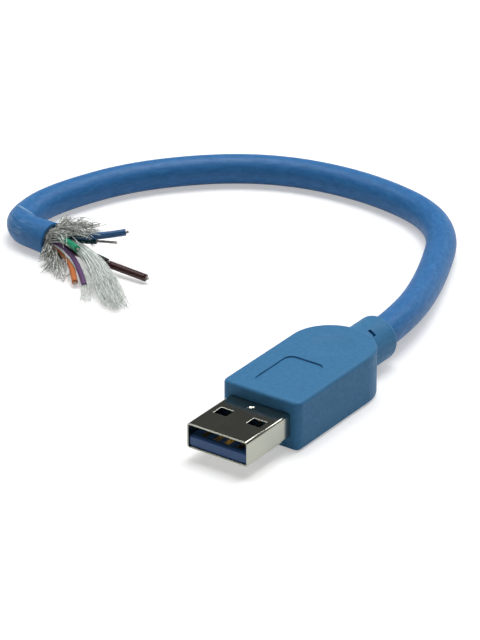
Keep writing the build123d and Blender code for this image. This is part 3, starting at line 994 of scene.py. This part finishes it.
@dataclass
class Filler:
    """White filler fibres that spill out of the bundle and droop to the surface.

    Lengths are millimetres, and lowest is how far under the cut's middle a fibre may lie.
    """

    radius: float = 0.075
    flatness: float = 0.5
    sides: int = 5
    samples: int = 26
    lowest: float = -2.75
    pace: tuple[float, float] = (4.0, 11.0)
    sway: tuple[float, float] = (0.22, 0.12)
    tip_share: float = 0.55
    thickness: tuple[float, float] = (0.5, 1.3)
    seed: int = 7
    locks: tuple[Lock, ...] = (
        Lock(400, ((-CUT_DEPTH, 0.0, 0.0), (8.0, 1.3, 1.6), (12.0, -1.4, -1.6), (24.4, -10.8, -2.3)),
             (0.55, 1.2, 2.3, 2.4), (0.5, 0.6, 0.55, 0.28)),
        Lock(60, ((-CUT_DEPTH, -0.4, 0.2), (9.0, -3.0, 0.6), (15.0, -6.0, -2.6), (17.4, -11.6, -2.45)),
             (0.3, 0.5, 0.9, 1.3), (0.2, 0.3, 0.3, 0.15)),
        Lock(40, ((-CUT_DEPTH, 0.3, 0.3), (4.0, 1.5, 2.6), (6.0, 3.0, 2.4), (9.6, 4.6, 2.2)),
             (0.3, 0.5, 0.8, 1.2), (0.2, 0.3, 0.4, 0.5)),
    )

    def fibres(self, lock: Lock, rng: np.random.Generator) -> Array:
        """Spread a lock's fibres round its middle curve.

        A fibre keeps its share of the lock's width and height, plus a slow wave that
        grows with the distance, and ends at its own share of the way.
        """
        end = rng.uniform(lock.shortest, 1.0, lock.count)
        t = np.linspace(0, 1, self.samples)[None] * end[:, None]
        weights = np.stack([(1 - t) ** 3, 3 * t * (1 - t) ** 2, 3 * t**2 * (1 - t), t**3], axis=-1)
        middle = weights @ np.array(lock.places)
        width, height = weights @ np.array(lock.widths), weights @ np.array(lock.heights)
        heading = unit(np.gradient(middle, axis=1))
        across = unit(np.cross([0.0, 0.0, 1.0], heading))
        angle = rng.uniform(0, 2 * math.pi, lock.count)
        share = np.sqrt(rng.uniform(0, 1, lock.count))
        aside, above = (share * np.cos(angle))[:, None], (share * np.sin(angle))[:, None]
        phase = rng.uniform(0, 2 * math.pi, (lock.count, 2, 1))
        pace = rng.uniform(*self.pace, (lock.count, 2, 1))
        wave = np.sin(pace * t[:, None] + phase) * t[:, None] * np.array(self.sway)[:, None]
        side = (aside * width + wave[:, 0] * width)[..., None] * across
        lift = (above * height + wave[:, 1])[..., None] * np.array([0.0, 0.0, 1.0])
        return middle + side + lift

    def build(self, cut: CutEnd, palette: Palette) -> bpy.types.Object:
        """Make each fibre a flattened thin tube that narrows to its tip."""
        rng = np.random.default_rng(self.seed)
        parts: list[tuple[Array, Array]] = []
        for lock in self.locks:
            paths = self.fibres(lock, rng)
            paths[..., 2] = np.maximum(paths[..., 2], self.lowest + self.radius)
            thickness = rng.uniform(*self.thickness, lock.count)[:, None]
            taper = np.linspace(1.0, self.tip_share, paths.shape[1]) * thickness
            parts.append(tubes(cut.place(paths), self.radius * MM * taper, self.sides, self.flatness))
        return make_piece("filler_fibre_locks", "filler_fibres", *joined(parts), palette, "white_fibre")


@dataclass
class Foil:
    """The crinkled foil wrap between the wires and the braid.

    Lengths are millimetres, and each wave has its count round the wrap, its height and
    its starting angle.
    """

    radius: float = 1.93
    reach: float = 0.7
    thickness: float = 0.03
    drift: float = 2.0
    torn: float = 4.0
    torn_shift: float = 1.7
    sides: int = 120
    rings: int = 14
    waves: tuple[tuple[int, float, float], ...] = ((3, 0.05, 0.4), (7, 0.035, 2.1), (13, 0.02, 4.0))

    def build(self, cut: CutEnd, palette: Palette) -> bpy.types.Object:
        """Carry a crinkled ring out of the jacket and back, so that the wrap is closed.

        The radius is its mean plus a sum of sine waves round it that grow towards the
        torn edge, and the edge's own length is another such sum.
        """
        turn = np.linspace(0, 2 * math.pi, self.sides, endpoint=False)
        share = np.linspace(0, 1, self.rings)[:, None]
        crinkle = sum(size * np.sin(count * turn + phase + self.drift * share)
                      for count, size, phase in self.waves)
        torn = sum(self.torn * size * np.sin(count * turn + self.torn_shift * phase)
                   for count, size, phase in self.waves)
        out = -CUT_DEPTH + share * (CUT_DEPTH + self.reach + torn)
        outer = self.radius + share * crinkle
        inner = outer - self.thickness
        out = np.concatenate([out, out[::-1], out[:1]])
        radius = np.concatenate([outer, inner[::-1], outer[:1]])
        places = np.stack([out, radius * np.cos(turn), radius * np.sin(turn)], axis=-1)
        points, faces = cut.place(places).reshape(-1, 3), grid_faces(len(out), len(turn))
        return make_piece("foil_wrap", "foil", points, faces, palette, "aluminium_foil")


# Solids that keep their shape


@dataclass
class DressedSolids:
    """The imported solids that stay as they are, with their finishes and soft edges.

    Edges and merged are millimetres, and corner and level are angles in degrees.
    """

    edges: dict[str, float] = field(default_factory=lambda: {
        "shell": 0.12, "insulator": 0.08, "overmould": 0.08})
    corner: float = 28.0
    level: float = 0.5
    merged: float = 0.001
    segments: int = 3

    def soften(self, solid: bpy.types.Object, width: float) -> None:
        """Round a solid's sharp edges: merge its corners, clear its flat faces and bevel."""
        weld = solid.modifiers.new("weld", "WELD")
        weld.merge_threshold = self.merged * MM
        flat = solid.modifiers.new("flat", "DECIMATE")
        flat.decimate_type = "DISSOLVE"
        flat.angle_limit = math.radians(self.level)
        bevel = solid.modifiers.new("bevel", "BEVEL")
        bevel.width = width * MM
        bevel.segments = self.segments
        bevel.limit_method = "ANGLE"
        bevel.angle_limit = math.radians(self.corner)
        bevel.use_clamp_overlap = False
        bevel.harden_normals = True

    def build(self, palette: Palette, replaced: set[str]) -> None:
        """Give each solid that still shows its finish, and the named ones soft edges."""
        slots = {part["node"]: part["material_slot"] for part in frame["record"]["subparts"]}
        for node, solid in frame["nodes"].items():
            if node in replaced:
                continue
            solid.data.materials.clear()
            solid.data.materials.append(palette.material(slots[node]))
            if node in self.edges:
                self.soften(solid, self.edges[node])
            LOG.info("%s: finish %s", node, slots[node])


# Studio


@dataclass(frozen=True)
class Lamp:
    """A round soft lamp, with its place, its width and its power in watts."""

    name: str
    place: Point
    size: float
    power: float


@dataclass(frozen=True)
class Viewpoint:
    """Where the photograph was taken from, with angles in degrees and the lens in millimetres."""

    azimuth: float = 35.258
    elevation: float = 26.903
    distance: float = 0.6996
    target: Point = (-0.02314, 0.01552, 0.004)
    lens: float = 230.54
    sensor: float = 36.0
    near: float = 0.01
    far: float = 20.0


@dataclass
class Studio:
    """A pale round sweep, soft lamps and the camera."""

    flat_radius: float = 1.6
    rim_radius: float = 2.6
    rim_height: float = 0.75
    hub_radius: float = 0.05
    rings: int = 60
    sides: int = 96
    paint: float = 0.72
    glow: float = 0.42
    world_glow: float = 0.09
    aim: Point = (-0.03, 0.02, 0.0)
    lamps: tuple[Lamp, ...] = (
        Lamp("overhead", (-0.1, 0.4, 1.6), 1.0, 19.0),
        Lamp("left", (-0.8, 0.0, 1.3), 0.6, 4.5),
        Lamp("back", (0.25, 1.1, 1.0), 0.6, 5.0),
    )
    view: Viewpoint = Viewpoint()

    def floor_mesh(self) -> bpy.types.Mesh:
        """Turn the floor's section, a flat disc with a raised rim, about Z.

        The radius runs out evenly, and past the flat part the height grows with the
        square of the share of the way to the rim.
        """
        radius = np.concatenate([[0.0], np.linspace(self.hub_radius, self.rim_radius, self.rings)])
        share = np.clip((radius - self.flat_radius) / (self.rim_radius - self.flat_radius), 0, 1)
        turn = np.linspace(0, 2 * math.pi, self.sides, endpoint=False)
        points = np.stack(np.broadcast_arrays(
            radius[:, None] * np.cos(turn), radius[:, None] * np.sin(turn),
            (self.rim_height * share**2)[:, None]), axis=-1).reshape(-1, 3)
        mesh = bpy.data.meshes.new("floor")
        mesh.from_pydata(points.tolist(), [], grid_faces(len(radius), self.sides).tolist())
        mesh.validate()
        mesh.polygons.foreach_set("use_smooth", np.ones(len(mesh.polygons), bool))
        return mesh

    def floor_finish(self) -> bpy.types.Material:
        """Paint the floor white, with a glow for the camera, reflections and clear parts alone."""
        material = bpy.data.materials.new("floor")
        material.use_nodes = True
        material.node_tree.nodes.clear()
        b = NodeBuilder(material.node_tree)
        rays = b.add("LightPath").outputs
        seen = b.add("Math", {0: rays["Is Camera Ray"], 1: rays["Is Glossy Ray"]}, operation="MAXIMUM")
        seen = b.add("Math", {0: seen.outputs[0], 1: rays["Is Transmission Ray"]}, operation="MAXIMUM")
        glow = b.add("Math", {0: seen.outputs[0], 1: self.glow}, operation="MULTIPLY")
        diffuse = b.add("BsdfDiffuse", {"Color": (self.paint, self.paint, self.paint, 1.0)})
        shine = b.add("Emission", {"Color": (1.0, 1.0, 1.0, 1.0), "Strength": glow.outputs[0]})
        total = b.add("AddShader", {0: diffuse.outputs[0], 1: shine.outputs[0]})
        b.add("OutputMaterial", {"Surface": total.outputs[0]})
        return material

    def build_floor(self) -> None:
        """Lay the floor."""
        mesh = self.floor_mesh()
        mesh.materials.append(self.floor_finish())
        floor = bpy.data.objects.new("floor", mesh)
        bpy.context.scene.collection.objects.link(floor)

    def build_lights(self) -> None:
        """Hang a large soft lamp above, a smaller one at the left and one low behind."""
        world = bpy.data.worlds.new("studio")
        world.use_nodes = True
        background = world.node_tree.nodes["Background"]
        background.inputs["Color"].default_value = (1.0, 1.0, 1.0, 1.0)
        background.inputs["Strength"].default_value = self.world_glow
        bpy.context.scene.world = world
        for lamp in self.lamps:
            light = bpy.data.lights.new(lamp.name, "AREA")
            light.shape = "DISK"
            light.size = lamp.size
            light.energy = lamp.power
            holder = bpy.data.objects.new(lamp.name, light)
            holder.location = lamp.place
            holder.rotation_mode = "QUATERNION"
            way = Vector(self.aim) - Vector(lamp.place)
            holder.rotation_quaternion = way.to_track_quat("-Z", "Y")
            bpy.context.scene.collection.objects.link(holder)

    def build_camera(self) -> None:
        """Set the camera where the photograph was taken from."""
        view = self.view
        azimuth, elevation = math.radians(view.azimuth), math.radians(view.elevation)
        back = Vector((math.sin(azimuth) * math.cos(elevation),
                          -math.cos(azimuth) * math.cos(elevation), math.sin(elevation)))
        lens = bpy.data.cameras.new("camera")
        lens.sensor_fit = "AUTO"
        lens.sensor_width = view.sensor
        lens.lens = view.lens
        lens.clip_start, lens.clip_end = view.near, view.far
        camera = bpy.data.objects.new("camera", lens)
        camera.location = Vector(view.target) + back * view.distance
        camera.rotation_mode = "QUATERNION"
        camera.rotation_quaternion = (-back).to_track_quat("-Z", "Y")
        bpy.context.scene.collection.objects.link(camera)
        bpy.context.scene.camera = camera
        bpy.context.scene.view_settings.view_transform = "Standard"

    def build(self) -> None:
        """Build the floor, the lamps and the camera."""
        self.build_floor()
        self.build_lights()
        self.build_camera()


def main() -> None:
    """Dress the solids, build the cable and its cut end, and set up the studio."""
    palette = Palette(Effects(build_grain(), build_blotches(), build_streaks()))
    line = Route().line()
    jacket = Jacket().build(line, palette)
    cut = CutEnd(line)
    on_cord = [part.build(cut, palette) for part in (*WIRES, *DRAINS, Braid(), Filler(), Foil())]
    replaced = {"jacket", "braid", "filler_fibres", "foil"} | {wire.node for wire in (*WIRES, *DRAINS)}
    DressedSolids().build(palette, replaced)
    Studio().build()


if __name__ == "__main__":
    logging.basicConfig(level=logging.INFO, format="%(name)s: %(message)s")
    main()
